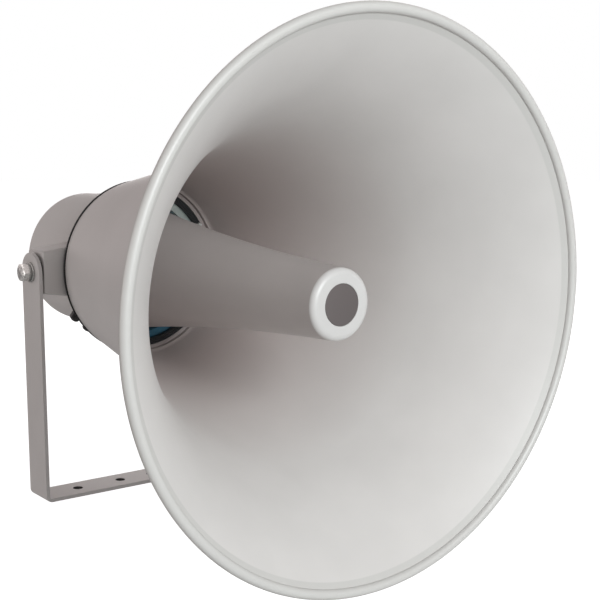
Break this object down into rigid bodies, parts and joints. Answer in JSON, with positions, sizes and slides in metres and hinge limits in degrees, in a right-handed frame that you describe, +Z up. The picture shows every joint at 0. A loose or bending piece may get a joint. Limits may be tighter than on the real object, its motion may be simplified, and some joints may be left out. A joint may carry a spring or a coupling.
{
  "type": "pa horn speaker",
  "caption": "Folded-horn loudspeaker: round flared bell, hollow central cone with cap, driver can behind, tilting on a U-shaped strap bracket.",
  "frame": {"origin": "centre of the bracket base's underside, straight below the tilt axis", "axes": "+Z up, -Y out of the horn's mouth along its level axis, X along the tilt axis"},
  "size_m": [0.49, 0.523, 0.49],
  "materials": {
    "grey_aluminium": "light grey textured powder coat over spun and cast aluminium",
    "bowl_aluminium": "cast, fine matt",
    "bracket_paint": "light grey powder coat over steel strap",
    "white_plastic": "satin",
    "plate_aluminium": "grey anodised, fine matt",
    "black_rubber": "matt",
    "black_plastic": "satin",
    "zinc_steel": "zinc plated",
    "pole_steel": "turned, passivated",
    "ferrite": "sintered, matt",
    "copper_wire": "enamelled copper winding",
    "brown_phenolic": "resin-bonded cloth"
  },
  "bodies": {
    "bracket": {"mounting_bracket": "bracket_paint"},
    "horn": {"horn_bell": "grey_aluminium", "bell_gasket": "black_rubber", "rear_bowl": "bowl_aluminium", "throat_tube": "bowl_aluminium", "reflector_cone": "grey_aluminium", "cone_cap": "white_plastic", "cap_plate": "plate_aluminium", "cap_screw": "zinc_steel", "cone_spider": "bowl_aluminium", "spider_screws": "zinc_steel", "driver_cover": "grey_aluminium", "cover_screws": "zinc_steel", "cover_nuts": "zinc_steel", "driver_plate": "bowl_aluminium", "phase_plug": "black_plastic", "diaphragm_ring": "brown_phenolic", "top_plate": "pole_steel", "magnet": "ferrite", "back_plate": "pole_steel", "driver_screws": "zinc_steel", "transformer_core": "pole_steel", "transformer_winding": "copper_wire", "transformer_frame": "zinc_steel", "frame_screws": "zinc_steel", "terminal_block": "black_plastic", "terminal_screws": "zinc_steel", "gland_bodies": "black_plastic", "gland_nuts": "black_plastic", "gland_plugs": "black_rubber", "gland_locknuts": "black_plastic", "pivot_bolts": "zinc_steel", "plain_washers": "zinc_steel", "spring_washers": "zinc_steel", "pivot_spacers": "black_plastic"},
    "moving_coil": {"diaphragm": "brown_phenolic", "voice_coil": "copper_wire"}
  },
  "joints": [
    {"name": "tilt", "type": "hinge", "parent": "bracket", "child": "horn", "pos_m": [0, 0, 0.245], "axis": [-1, 0, 0], "range_deg": [-50, 230]},
    {"name": "coil_travel", "type": "slide", "parent": "horn", "child": "moving_coil", "axis": [0, 1, 0], "range_m": [-0.0004, 0.0004], "stiffness_N_per_m": 1000}
  ]
}
